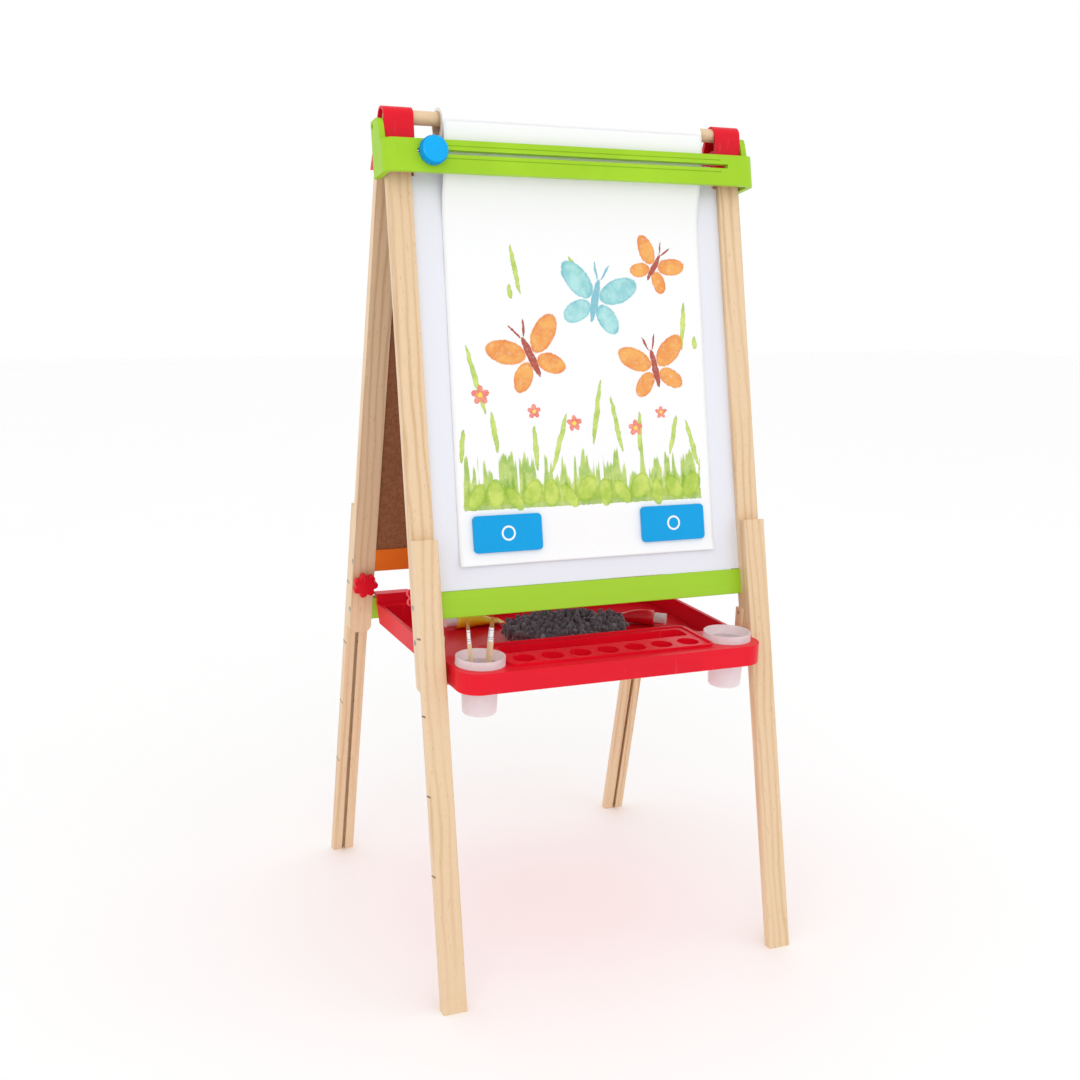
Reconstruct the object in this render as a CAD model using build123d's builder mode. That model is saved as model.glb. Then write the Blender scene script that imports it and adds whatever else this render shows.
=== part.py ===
from build123d import *
import os
from math import cos, radians, sin, tan

os.makedirs("parts", exist_ok=True)

# Stance, in mm. The easel stands on its four feet, +X right, +Y rear, +Z up.
depth = 460.0  # toe to heel
ref_height = 936.0  # where the leg distances start from
front_lean, rear_lean = 13.2, 10.7  # degrees from upright
# Legs
leg_wide, leg_thick, leg_gap = 28.0, 12.5, 0.02
front_x, rear_x = 210.0, 208.5  # leg centres
upper_top, front_upper_end, rear_upper_end = 10.0, 612.0, 615.0
front_lower_top, rear_lower_top = 443.0, 446.0
slot_wide, tee_wide, lip_deep, tee_deep = 4.6, 10.0, 3.5, 4.2
board_groove = 4.2
# Boards and rails
board_rise, board_top, board_end = 12.0, 39.0, 501.5
board_neck = 190.5  # half width between the brackets
rail_front = (502.0, 532.0, -12.5, -4.2)
rail_rear = (502.0, 531.0, 0.0, 8.5)
rail_support = (567.7, 597.7, 0.0, 8.5)
rail_front_screw, rail_rear_screws = 517.0, (516.5, 582.7)
# Top fittings
pin_s, pin_r = 20.0, 2.5
dowel_s, dowel_off, dowel_r, dowel_half = -25.3, -5.0, 8.0, 222.0
roll_drop, core_in, core_out, roll_r = 5.2, 13.3, 14.4, 18.0
roll_left, roll_right = -161.0, 170.0
guide_half, guide_wall, guide_s, guide_tall, guide_front = 233.5, 7.0, 5.3, 36.0, 24.2
pivot_s, pivot_off, pivot_r = -15.6, -14.6, 3.0
cutter_x, cutter_s, cutter_r = -179.0, 19.0, 16.0
# Knobs
knob_front_s, knob_rear_s, bolt_r, knob_r = 506.0, 545.0, 2.2, 16.0
# Tray
tray_half, tray_front, tray_back, tray_low = 191.0, -185.7, 130.0, 114.0
tray_top, tray_bottom, tray_wall = 372.5, 347.8, 2.5
rest_s, rest_r = 555.6, 2.0
cup_x, cup_y, cup_r, cup_hole, cup_bottom = 158.0, -148.7, 21.8, 23.2, 316.0
palette_half = 128.8

a, b = radians(front_lean), radians(rear_lean)
front_y = (ref_height + leg_thick * sin(a)) * tan(a) + leg_thick * cos(a) - depth / 2
rear_y = depth / 2 - (ref_height + 2 * leg_thick * sin(b)) * tan(b) - 2 * leg_thick * cos(b)
front = Plane(origin=(0, front_y, ref_height), x_dir=(1, 0, 0), z_dir=(0, -cos(a), sin(a)))
rear = Plane(origin=(0, rear_y, ref_height), x_dir=(1, 0, 0), z_dir=(0, -cos(b), -sin(b)))


def on_front(s, off):
    """Side-view point s down the front legs and off ahead of their face."""
    return (front_y - s * sin(a) - off * cos(a), ref_height - s * cos(a) + off * sin(a))


def on_rear(s, d):
    """Side-view point s down the rear legs and d behind their inner face."""
    return (rear_y + s * sin(b) + d * cos(b), ref_height - s * cos(b) + d * sin(b))


def save(builder, name):
    """Labels the finished sub-part and writes its file."""
    builder.part.label = name
    export_step(builder.part, f"parts/{name}.step")


def slab(plane, x0, x1, s0, s1, low, high, mode=Mode.ADD):
    """Box in a leg plane: across, down the leg, and out along the plane's normal."""
    with BuildSketch(plane.offset(low)) as outline:
        with Locations(((x0 + x1) / 2, -(s0 + s1) / 2)):
            Rectangle(x1 - x0, s1 - s0)
    extrude(outline.sketch, amount=high - low, mode=mode)


def bar_x(x0, x1, at, radius, mode=Mode.ADD):
    """Round bar along X through the side-view point at."""
    with BuildSketch(Plane.YZ.offset(x0)) as outline:
        with Locations(at):
            Circle(radius)
    extrude(outline.sketch, amount=x1 - x0, mode=mode)


def drill(plane, x, s, low, high, radius, mode=Mode.SUBTRACT):
    """Round hole or peg square to a leg plane."""
    with BuildSketch(plane.offset(low)) as outline:
        with Locations((x, -s)):
            Circle(radius)
    extrude(outline.sketch, amount=high - low, mode=mode)


def front_upper_leg(name, side):
    x = side * front_x
    with BuildPart() as leg:
        slab(front, x - leg_wide / 2, x + leg_wide / 2, upper_top, front_upper_end, -leg_thick, 0)
        low = leg.edges().filter_by(Axis(front.origin, front.z_dir)).group_by(Axis.Z)[0]
        fillet(low, radius=8)
        fillet(leg.faces().filter_by(front).edges().filter_by(GeomType.LINE), radius=1.0)
        inner = sorted((side * 196.0, side * (196.0 + board_groove)))
        slab(front, inner[0], inner[1], board_top - 0.5, board_end + 0.3, -10.1, -6.4, Mode.SUBTRACT)
        drill(front, x, knob_front_s, -14, 1, 2.3)
        for s in (rail_front_screw, rest_s):
            bar_x(x - 20, x + 20, on_front(s, -leg_thick / 2), 2.05, Mode.SUBTRACT)
            face = sorted((side * 222.6, side * 225.0))
            bar_x(face[0], face[1], on_front(s, -leg_thick / 2), 3.6, Mode.SUBTRACT)
    save(leg, name)


def rear_upper_leg(name, side):
    x = side * rear_x
    with BuildPart() as leg:
        slab(rear, x - leg_wide / 2, x + leg_wide / 2, pin_s, rear_upper_end, -leg_thick, 0)
        low = leg.edges().filter_by(Axis(rear.origin, rear.z_dir)).group_by(Axis.Z)[0]
        fillet(low, radius=8)
        bar_x(x - leg_wide / 2, x + leg_wide / 2, on_rear(pin_s, leg_thick / 2), leg_thick / 2)
        bar_x(x - 20, x + 20, on_rear(pin_s, leg_thick / 2), pin_r + 0.06, Mode.SUBTRACT)
        inner = sorted((side * 194.5, side * (194.5 + board_groove)))
        slab(rear, inner[0], inner[1], board_top - 0.5, board_end + 0.3, -6.1, -2.4, Mode.SUBTRACT)
        drill(rear, x, knob_rear_s, -14, 1, 2.3)
        for s in rail_rear_screws:
            bar_x(x - 20, x + 20, on_rear(s, 4.25), 1.7, Mode.SUBTRACT)
            face = sorted((side * 221.1, side * 223.5))
            bar_x(face[0], face[1], on_rear(s, 4.25), 3.6, Mode.SUBTRACT)
    save(leg, name)


def lower_leg(name, side, plane, centre, top, low, inward):
    """Sliding leg with a T-slot in the face against the upper leg and marks on its outer side."""
    x = side * centre
    low += inward * leg_gap
    face = low if inward > 0 else low + leg_thick
    with BuildPart() as leg:
        slab(plane, x - leg_wide / 2, x + leg_wide / 2, top, 985, low, low + leg_thick)
        fillet(leg.edges().filter_by(Axis(plane.origin, plane.y_dir)), radius=1.2)
        tee = sorted((face, face + inward * lip_deep))
        slab(plane, x - slot_wide / 2, x + slot_wide / 2, top + 9, 990, tee[0], tee[1], Mode.SUBTRACT)
        tee = sorted((face + inward * lip_deep, face + inward * (lip_deep + tee_deep)))
        slab(plane, x - tee_wide / 2, x + tee_wide / 2, top + 9, 990, tee[0], tee[1], Mode.SUBTRACT)
        with Locations((0, 0, -50)):
            Box(600, 700, 100, mode=Mode.SUBTRACT)
        for s in (551, 636, 724, 812):
            edge = sorted((side * (centre + leg_wide / 2 - 0.4), side * (centre + leg_wide / 2 + 1)))
            mid = low + leg_thick / 2
            slab(plane, edge[0], edge[1], s - 0.6, s + 0.6, mid - 3, mid + 3, Mode.SUBTRACT)
    save(leg, name)


def board(name, plane, half, low, high):
    """Panel let into the legs' grooves, narrower where it passes between the top brackets."""
    with BuildPart() as panel:
        slab(plane, -half, half, board_top, board_end, low, high)
        slab(plane, -board_neck, board_neck, board_rise, board_top + 1, low, high)
    save(panel, name)


def rail(name, plane, half, span, screws, at, mid):
    """Cross rail with a pilot hole for each screw in its ends."""
    with BuildPart() as strip:
        slab(plane, -half, half, *span)
        fillet(strip.edges().filter_by(Axis.X), radius=1.2)
        for x0 in (-half - 1, half - 19):
            for s in screws:
                bar_x(x0, x0 + 20, at(s, mid), 1.7, Mode.SUBTRACT)
    save(strip, name)


def screws(name, centre, places, shank, reach):
    """Pan screws through both legs of a frame, their heads sunk in the outer sides."""
    face = centre + leg_wide / 2
    with BuildPart() as group:
        for side in (-1, 1):
            for at in places:
                head = sorted((side * (face - 1.3), side * (face - 0.3)))
                bar_x(head[0], head[1], at, 3.4)
                stem = sorted((side * (face - 1.3), side * reach))
                bar_x(stem[0], stem[1], at, shank)
                slot = sorted((side * (face - 0.8), side * face))
                for tilt in (0, 90):
                    with BuildSketch(Plane.YZ.offset(slot[0])):
                        with Locations(at):
                            Rectangle(3.6, 0.8, rotation=tilt)
                    extrude(amount=slot[1] - slot[0], mode=Mode.SUBTRACT)
    save(group, name)


def bolts(name, plane, centre, s, head_low, head_high, stem_end):
    """Square-headed bolts that clamp the lower legs: the head rides in the T-slot."""
    with BuildPart() as group:
        for side in (-1, 1):
            x = side * centre
            slab(plane, x - 4.6, x + 4.6, s - 4.6, s + 4.6, head_low, head_high)
            low, high = sorted(((head_low + head_high) / 2, stem_end))
            drill(plane, x, s, low, high, bolt_r, Mode.ADD)
    save(group, name)


def star_knob(name, plane, x, s, face, out):
    """Seven-lobed hand nut on the bolt, its hub against the upper leg."""
    steps = [sorted((face + out * p, face + out * q)) for p, q in ((0.3, 5.0), (5.0, 13.0))]
    with BuildPart() as knob:
        drill(plane, x, s, steps[0][0], steps[0][1], 8.5, Mode.ADD)
        with BuildSketch(plane.offset(steps[1][0])):
            with Locations((x, -s)):
                Circle(12.2)
                with PolarLocations(11.6, 7):
                    Circle(knob_r - 11.6)
            fillet(vertices(), radius=1.4)
        extrude(amount=steps[1][1] - steps[1][0])
        outer = knob.faces().filter_by(plane).sort_by(Axis(plane.origin, plane.z_dir * out))[-1]
        fillet(outer.edges(), radius=1.2)
        blind = sorted((face, face + out * 10.5))
        drill(plane, x, s, blind[0], blind[1], bolt_r + 0.06)
    save(knob, name)


def bracket(name, side):
    """Top fitting: cheeks round both leg ends below, an arch over the dowel above."""
    low, high = sorted((side * 191.6, side * 226.2))
    crown = on_front(dowel_s, dowel_off)
    foot = (on_front(37, 2.6), on_rear(37, 15.6))
    with BuildPart() as fitting:
        with BuildSketch(Plane.YZ.offset(low)):
            with BuildLine():
                CenterArc(crown, dowel_r + 3, 0, 360)
                Line(*foot)
            make_hull()
        extrude(amount=high - low)
        fillet(fitting.edges().filter_by(Axis.X).group_by(Axis.Z)[0], radius=1.5)
        cavity = sorted((side * 193.9, side * 224.5))
        with BuildSketch(Plane.YZ.offset(cavity[0])):
            with BuildLine():
                Polyline(on_front(2, 0.5), on_front(60, 0.5), on_rear(60, 13), on_rear(5, 13), close=True)
            make_face()
        extrude(amount=cavity[1] - cavity[0], mode=Mode.SUBTRACT)
        for x0, x1 in (sorted((side * 191, side * 206.9)), sorted((side * 210.9, side * 227))):
            with BuildSketch(Plane.YZ.offset(x0)):
                with BuildLine():
                    CenterArc(crown, dowel_r + 0.4, 0, 360)
                    Line(on_front(-6, 1.5), on_front(-6, -25))
                make_hull()
            extrude(amount=x1 - x0, mode=Mode.SUBTRACT)
        bar_x(side * 209 - 4, side * 209 + 4, crown, dowel_r + 0.05, Mode.SUBTRACT)
        bar_x(side * 209 - 4, side * 209 + 4, on_front(pivot_s, pivot_off), pivot_r, Mode.SUBTRACT)
        bar_x(low, high, on_rear(pin_s, leg_thick / 2), pin_r + 0.02, Mode.SUBTRACT)
    save(fitting, name)


for side_name, side in (("left", -1), ("right", 1)):
    front_upper_leg(f"front_upper_leg_{side_name}", side)
    rear_upper_leg(f"rear_upper_leg_{side_name}", side)
    lower_leg(f"front_lower_leg_{side_name}", side, front, front_x, front_lower_top, 0.0, 1)
    lower_leg(f"rear_lower_leg_{side_name}", side, rear, rear_x, rear_lower_top, -2 * leg_thick, -1)
    bracket(f"top_bracket_{side_name}", side)
    star_knob(f"front_star_knob_{side_name}", front, side * front_x, knob_front_s, -leg_thick, -1)
    star_knob(f"rear_star_knob_{side_name}", rear, side * rear_x, knob_rear_s, 0.0, 1)

board("whiteboard", front, 200.0, -10.0, -6.5)
board("chalkboard", rear, 198.5, -6.0, -2.5)
rail("front_rail", front, 195.9, rail_front, (rail_front_screw,), on_front, -6.25)
rear_slabs = [(s0, s1, -d1, -d0) for s0, s1, d0, d1 in (rail_rear, rail_support)]
rail("rear_rail", rear, 194.4, rear_slabs[0], rail_rear_screws[:1], on_rear, 4.25)
rail("support_rail", rear, 194.4, rear_slabs[1], rail_rear_screws[1:], on_rear, 4.25)
screws("front_rail_screws", front_x, [on_front(rail_front_screw, -6.25)], 1.6, 180)
screws("tray_rest_screws", front_x, [on_front(rest_s, -6.25)], rest_r, 191.8)
screws("rear_rail_screws", rear_x, [on_rear(s, 4.25) for s in rail_rear_screws], 1.6, 180)
bolts("front_clamp_bolts", front, front_x, knob_front_s, 3.7, 7.4, -22.0)
bolts("rear_clamp_bolts", rear, rear_x, knob_rear_s, -2 * leg_thick + 5.1, -2 * leg_thick + 8.8, 9.5)

with BuildPart() as dowel:
    bar_x(-dowel_half, dowel_half, on_front(dowel_s, dowel_off), dowel_r)
    fillet(dowel.edges(), radius=0.8)
save(dowel, "dowel")

with BuildPart() as hinge_pins:
    for x0 in (-226.2, 191.6):
        bar_x(x0, x0 + 34.6, on_rear(pin_s, leg_thick / 2), pin_r)
save(hinge_pins, "hinge_pins")

with BuildPart() as guide_pivots:
    for x0 in (-231.5, 207.0):
        bar_x(x0, x0 + 24.5, on_front(pivot_s, pivot_off), pivot_r - 0.04)
save(guide_pivots, "guide_pivots")

dowel_at = on_front(dowel_s, dowel_off)
roll_at = (dowel_at[0], dowel_at[1] - roll_drop)
with BuildPart() as paper_core:
    bar_x(roll_left, roll_right, roll_at, core_out)
    bar_x(roll_left, roll_right, roll_at, core_in, Mode.SUBTRACT)
save(paper_core, "paper_core")
with BuildPart() as paper_roll:
    bar_x(roll_left + 1, roll_right - 1, roll_at, roll_r)
    bar_x(roll_left, roll_right, roll_at, core_out + 0.02, Mode.SUBTRACT)
save(paper_roll, "paper_roll")

# Hanging paper: down from the front of the roll, in to the board and flat along it.
sheet_back = [(-19, 13.6), (0, 13.4), (16, 11.6), (32, 7.5), (52, 0.5), (76, -4.8), (96, -6.1), (476, -6.1)]
sheet_face = [(s, off + 0.7) for s, off in reversed(sheet_back)]
with BuildPart() as paper_sheet:
    with BuildSketch(Plane.YZ.offset(-162.0)):
        with BuildLine():
            Polyline(*[on_front(*p) for p in sheet_back + sheet_face], close=True)
        make_face()
    extrude(amount=328.0)
save(paper_sheet, "paper_sheet")

for side_name, side in (("left", -1), ("right", 1)):
    with BuildPart() as magnet:
        slab(front, side * 106.4 - 42, side * 106.4 + 42, 420, 462, -5.1, -0.9)
        fillet(magnet.edges().filter_by(Axis(front.origin, front.z_dir)), radius=5)
        fillet(magnet.faces().filter_by(front).sort_by(Axis.Y)[0].edges(), radius=1.0)
    save(magnet, f"magnet_{side_name}")

# Paper guide: a U in plan with a tab at the back of each arm that carries its pivot.
plan = Plane(origin=(0, *on_front(guide_s + guide_tall, 0)), x_dir=(1, 0, 0), z_dir=(0, sin(a), cos(a)))
with BuildPart() as paper_guide:
    with BuildSketch(plan):
        with Locations((0, (19 - guide_front) / 2)):
            Rectangle(2 * guide_half, 19 + guide_front)
        fillet(vertices().group_by(Axis.Y)[0], radius=12)
    extrude(amount=guide_tall)
    with BuildSketch(plan):
        with Locations((0, (40 - guide_front + guide_wall) / 2)):
            Rectangle(2 * (guide_half - guide_wall), 40 + guide_front - guide_wall)
        fillet(vertices().group_by(Axis.Y)[0], radius=5)
    extrude(amount=guide_tall, mode=Mode.SUBTRACT)
    for x0 in (-guide_half, guide_half - guide_wall):
        with BuildSketch(Plane.YZ.offset(x0)):
            with BuildLine():
                Polyline(on_front(6, -19), on_front(-21.6, -19), on_front(-21.6, 4), on_front(6, 9), close=True)
            make_face()
            fillet(vertices().group_by(Axis.Y)[-1].sort_by(Axis.Z)[-1], radius=6)
        extrude(amount=guide_wall)
        bar_x(x0 - 1, x0 + guide_wall + 1, on_front(pivot_s, pivot_off), pivot_r + 0.05, Mode.SUBTRACT)
    slab(front, -196, 196, cutter_s - 2.4, cutter_s + 2.4, 15, 30, Mode.SUBTRACT)
    for s in (12.0, 26.0):
        slab(front, -186, 186, s - 0.6, s + 0.6, guide_front - 0.8, 30, Mode.SUBTRACT)
save(paper_guide, "paper_guide")

# Cutter: a ribbed knob on a flat stem through the guide's slot, with a clip behind.
with BuildPart() as cutter_body:
    drill(front, cutter_x, cutter_s, guide_front + 0.2, guide_front + 9.0, cutter_r - 1.0, Mode.ADD)
    slab(front, cutter_x - 9, cutter_x + 9, cutter_s - 2.3, cutter_s + 2.3, 14.6, guide_front + 1)
    slab(front, cutter_x - 12, cutter_x + 12, cutter_s - 6, cutter_s + 6, 14.6, 17.0)
    with BuildSketch(front.offset(guide_front + 0.2)):
        with Locations((cutter_x, -cutter_s)):
            with PolarLocations(cutter_r - 1.0, 30):
                Circle(1.0)
    extrude(amount=8.8)
save(cutter_body, "cutter_body")
with BuildPart() as cutter_cap:
    drill(front, cutter_x, cutter_s, guide_front + 9.0, guide_front + 12.0, cutter_r - 1.6, Mode.ADD)
    top = cutter_cap.faces().filter_by(front).sort_by(Axis(front.origin, front.z_dir))[-1]
    fillet(top.edges(), radius=1.2)
save(cutter_cap, "cutter_cap")

# Tray: one moulding with cup lobes, a well for the palette and two rear hooks.
rest_at = on_front(rest_s, -leg_thick / 2)
mid_y = (tray_front + tray_back) / 2
with BuildPart() as tray:
    with BuildSketch(Plane.XY.offset(tray_bottom)):
        with Locations((0, mid_y)):
            Rectangle(2 * tray_half, tray_back - tray_front)
        fillet(vertices().group_by(Axis.Y)[0], radius=24)
    extrude(amount=tray_top - tray_bottom)
    with BuildSketch(Plane.YZ.offset(-200)):
        with BuildLine():
            Polyline((tray_low, tray_bottom - 1), (tray_back, tray_top), (160, tray_top), (160, 340), close=True)
        make_face()
    extrude(amount=400, mode=Mode.SUBTRACT)
    fillet(tray.faces().sort_by(Axis.Z)[0].edges(), radius=2.0)
    with BuildSketch(Plane.XY.offset(tray_bottom + tray_wall)):
        with Locations((0, (tray_low - 3 - 112) / 2)):
            Rectangle(2 * tray_half - 9, tray_low - 3 + 112)
        with Locations((-cup_x, cup_y), (cup_x, cup_y)):
            Circle(37.5, mode=Mode.SUBTRACT)
        with Locations((0, -100)):
            Rectangle(2 * 137, 30, mode=Mode.SUBTRACT)
        fillet(vertices(), radius=4)
    extrude(amount=40, mode=Mode.SUBTRACT)
    with BuildSketch(Plane.XY.offset(tray_bottom + tray_wall)):
        with Locations((0, -130)):
            RectangleRounded(2 * palette_half - 6.4, 74, 6)
    extrude(amount=40, mode=Mode.SUBTRACT)
    with BuildSketch(Plane.XY.offset(tray_bottom - 5)):
        with Locations((-cup_x, cup_y), (cup_x, cup_y)):
            Circle(cup_hole)
    extrude(amount=60, mode=Mode.SUBTRACT)
    for side in (-1, 1):
        low, high = sorted((side * 146, side * tray_half))
        with BuildSketch(Plane.YZ.offset(low)):
            with BuildLine():
                Polyline(
                    (tray_back - 5, tray_top - 6),
                    (tray_back - 4, tray_top + 12),
                    (tray_back + 11, tray_top + 12),
                    (tray_back + 11, tray_top + 8.6),
                    (tray_back - 0.4, tray_top + 8.6),
                    (tray_back - 0.4, tray_top - 1),
                    close=True,
                )
            make_face()
        extrude(amount=high - low)
save(tray, "tray")

# Rests: a strip screwed to each front leg with a foot that the tray lies and slides on.
for side_name, side in (("left", -1), ("right", 1)):
    with BuildPart() as tray_rest:
        low, high = sorted((side * 191.5, side * 195.9))
        foot, head = tray_bottom - 4.5, rest_at[1] + 6
        with BuildSketch(Plane.YZ.offset(low)) as outline:
            with Locations((rest_at[0], (foot + head) / 2)):
                Rectangle(13, head - foot)
        extrude(amount=high - low)
        with Locations((side * 188.5, rest_at[0], tray_bottom - 2.5)):
            Box(14.8, 13, 4)
        bar_x(low - 1, high + 1, rest_at, rest_r + 0.05, Mode.SUBTRACT)
    save(tray_rest, f"tray_rest_{side_name}")

with BuildPart() as palette:
    with BuildSketch(Plane.XY.offset(tray_top + 0.1)):
        with Locations((0, -130)):
            RectangleRounded(2 * palette_half, 82, 8)
    extrude(amount=3.0)
    with BuildSketch(Plane.XY.offset(tray_top - 12)):
        with Locations((0, -130)):
            RectangleRounded(2 * palette_half - 8, 72.4, 5.5)
    extrude(amount=12.5)
    with BuildSketch(Plane.XY.offset(tray_top + 1.4)):
        with Locations((0, -130)):
            RectangleRounded(2 * palette_half - 5, 77, 6)
    extrude(amount=5, mode=Mode.SUBTRACT)
    with BuildSketch(Plane.XY.offset(tray_top - 9.5)):
        with GridLocations(35, 1, 7, 1):
            with Locations((0, -148.5)):
                Circle(13.0)
        with Locations((0, -113)):
            RectangleRounded(238, 27, 6)
    extrude(amount=15, mode=Mode.SUBTRACT)
    inside = palette.faces().filter_by(Axis.Z).group_by(Axis.Z)[1]
    fillet(inside.edges(), radius=2.0)
save(palette, "palette")

for side_name, side in (("left", -1), ("right", 1)):
    with BuildPart() as cup:
        with BuildSketch(Plane.XZ.offset(-cup_y)) as profile:
            with BuildLine():
                Polyline(
                    (side * cup_x, cup_bottom),
                    (side * cup_x + 18.0, cup_bottom),
                    (side * cup_x + 19.4, cup_bottom + 1.6),
                    (side * cup_x + cup_r, tray_top - 1),
                    (side * cup_x + cup_r + 0.2, tray_top + 0.2),
                    (side * cup_x + 28.5, tray_top + 0.2),
                    (side * cup_x + 28.0, tray_top + 9.4),
                    (side * cup_x + 26.5, tray_top + 9.4),
                    (side * cup_x + 20.6, tray_top + 0.2),
                    (side * cup_x + 18.2, cup_bottom + 4),
                    (side * cup_x + 16.4, cup_bottom + 1.8),
                    (side * cup_x, cup_bottom + 1.8),
                    close=True,
                )
            make_face()
        revolve(axis=Axis((side * cup_x, cup_y, 0), (0, 0, 1)))
    save(cup, f"cup_{side_name}")


def brush(name, foot, tip, shaft):
    """Round brush from its wooden end at foot to the bristle tip."""
    run = Vector(*tip) - Vector(*foot)
    total = run.length
    base = Plane(origin=foot, x_dir=(0, 1, 0), z_dir=run.normalized())
    parts = (
        ("handle", 0.0, total - 31.0, shaft * 0.6, shaft),
        ("ferrule", total - 30.9, total - 15.1, shaft, shaft * 0.82),
        ("bristles", total - 15.0, total, shaft * 0.8, shaft * 0.35),
    )
    for part, low, high, r0, r1 in parts:
        with BuildPart() as piece:
            with BuildSketch(base.offset(low)):
                Circle(r0)
            with BuildSketch(base.offset(high)):
                Circle(r1)
            loft()
        save(piece, f"{name}_{part}")


brush("brush_thin", (-162.5, -147.0, 320.0), (-175.0, -149.0, 428.0), 2.5)
brush("brush_thick", (-152.0, -150.0, 321.0), (-143.6, -147.0, 428.0), 3.6)


def paint_tube(name, cap_end, heading):
    """Soft tube lying in the tray: screw cap, round shoulder and flat crimped tail."""
    turn = radians(heading)
    along = (cos(turn), sin(turn), 0)
    base = Plane(origin=cap_end, x_dir=(-sin(turn), cos(turn), 0), z_dir=along)
    with BuildPart() as cap:
        with BuildSketch(base):
            Circle(7.0)
        extrude(amount=15)
        with BuildSketch(base.offset(11)):
            Circle(4.2)
        extrude(amount=5, mode=Mode.SUBTRACT)
    save(cap, f"{name}_cap")
    with BuildPart() as tube:
        with BuildSketch(base.offset(11.5)):
            Circle(4.0)
        extrude(amount=4)
        with BuildSketch(base.offset(15.4)):
            Circle(9.5)
        with BuildSketch(base.offset(24)):
            Circle(9.9)
        with BuildSketch(base.offset(58)):
            Ellipse(11.6, 5.4)
        with BuildSketch(base.offset(78)):
            Ellipse(13.0, 1.0)
        loft()
    save(tube, name)


tube_z = tray_bottom + tray_wall + 10.3
paint_tube("tube_yellow", (-124.0, 58.0, tube_z), 4.0)
paint_tube("tube_red", (150.0, -14.0, tube_z), 140.0)

with BuildPart() as chenille_mitt:
    with BuildSketch(Plane.XY.offset(tray_bottom + tray_wall + 0.3)):
        with Locations((8.0, -18.0)):
            Ellipse(86, 50)
    extrude(amount=38)
    fillet(chenille_mitt.faces().sort_by(Axis.Z)[-1].edges(), radius=20)
save(chenille_mitt, "chenille_mitt")
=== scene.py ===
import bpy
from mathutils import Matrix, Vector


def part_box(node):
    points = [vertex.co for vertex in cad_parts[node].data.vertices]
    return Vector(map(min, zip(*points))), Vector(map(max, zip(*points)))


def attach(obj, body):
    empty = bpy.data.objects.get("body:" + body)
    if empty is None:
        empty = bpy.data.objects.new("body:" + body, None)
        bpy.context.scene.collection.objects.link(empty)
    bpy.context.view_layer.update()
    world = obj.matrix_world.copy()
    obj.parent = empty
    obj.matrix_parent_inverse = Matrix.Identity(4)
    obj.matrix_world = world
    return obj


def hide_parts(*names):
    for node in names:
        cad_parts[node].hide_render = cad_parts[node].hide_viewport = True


bl_info = {
    "name": "Kids Easel Finishes",
    "version": (1, 0, 0),
    "blender": (4, 5, 0),
    "location": "View3D > Sidebar > Easel",
    "description": "Finishes and soft goods for a folding children's easel",
    "category": "Object",
}

from math import cos, hypot, pi, radians, sin, tan

import bmesh
import bpy
from mathutils import Matrix, Vector, noise

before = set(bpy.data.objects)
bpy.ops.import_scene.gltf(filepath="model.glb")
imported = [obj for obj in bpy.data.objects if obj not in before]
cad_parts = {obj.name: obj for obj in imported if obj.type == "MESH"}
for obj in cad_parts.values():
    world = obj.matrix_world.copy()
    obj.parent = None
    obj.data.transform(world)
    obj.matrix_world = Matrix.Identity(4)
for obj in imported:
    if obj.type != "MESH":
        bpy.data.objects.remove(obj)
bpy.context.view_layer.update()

# The stance of the frame, in metres and degrees
DEPTH, REF_HEIGHT, LEG_THICK = 0.460, 0.936, 0.0125
FRONT_LEAN, REAR_LEAN = 13.2, 10.7
A, B = radians(FRONT_LEAN), radians(REAR_LEAN)
FRONT_Y = (REF_HEIGHT + LEG_THICK * sin(A)) * tan(A) + LEG_THICK * cos(A) - DEPTH / 2
REAR_Y = DEPTH / 2 - (REF_HEIGHT + 2 * LEG_THICK * sin(B)) * tan(B) - 2 * LEG_THICK * cos(B)
FRONT_DOWN = Vector((0, -sin(A), -cos(A)))
REAR_DOWN = Vector((0, sin(B), -cos(B)))
FRONT_OUT = Vector((0, -cos(A), sin(A)))
SIDES = ("left", "right")
MARKS = (0.551, 0.636, 0.724, 0.812)
OUTER_SIDE = 0.12  # outward normal times distance from the middle, only reached on the legs' outer faces
BRUSHES = {
    "brush_thin": (Vector((-0.1625, -0.147, 0.320)), Vector((-0.175, -0.149, 0.428)), 0.0020),
    "brush_thick": (Vector((-0.152, -0.150, 0.321)), Vector((-0.1436, -0.147, 0.428)), 0.0029),
}
TUBE_AXIS_Z = 0.3606
TUBES = {
    "tube_yellow": (Vector((-0.124, 0.058, TUBE_AXIS_Z)), 4.0),
    "tube_red": (Vector((0.150, -0.014, TUBE_AXIS_Z)), 140.0),
}
PAGE_SCALE = 2.0  # page coordinates per metre
PAGE_SIDES = (0.018, 0.628)  # the meadow's left and right ends on the page
MAGNET_X, MAGNET_DOWN = 0.1064, 0.441  # magnet centres across and down the front
HAIR_LENGTH = 0.0155
GOLDEN_ANGLE = 2.39996  # radians, spreads points evenly over a disc
SHEET_END = 0.476  # where the hanging sheet ends, down the front legs
LINE_POINTS, SHEET_COLUMNS = 150, 60
TICK_HALF = 0.0011  # half the width of a height mark
TUBE_ROUND = 40  # corners round a paint tube
LIGHTS = {"key": ((-1.3, -2.3, 2.6), 2.2), "side_fill": ((2.4, -1.2, 1.5), 1.8)}  # place and size
LIGHT_AIM = Vector((0, 0, 0.5))
CAMERA_PLACE = (-0.7166, -1.5455, 0.8519)
CAMERA_YAW, CAMERA_PITCH, CAMERA_ROLL = 24.147, -12.641, 1.822
CAMERA_SENSOR, CAMERA_LENS = 36.0, 47.34  # millimetres


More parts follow.
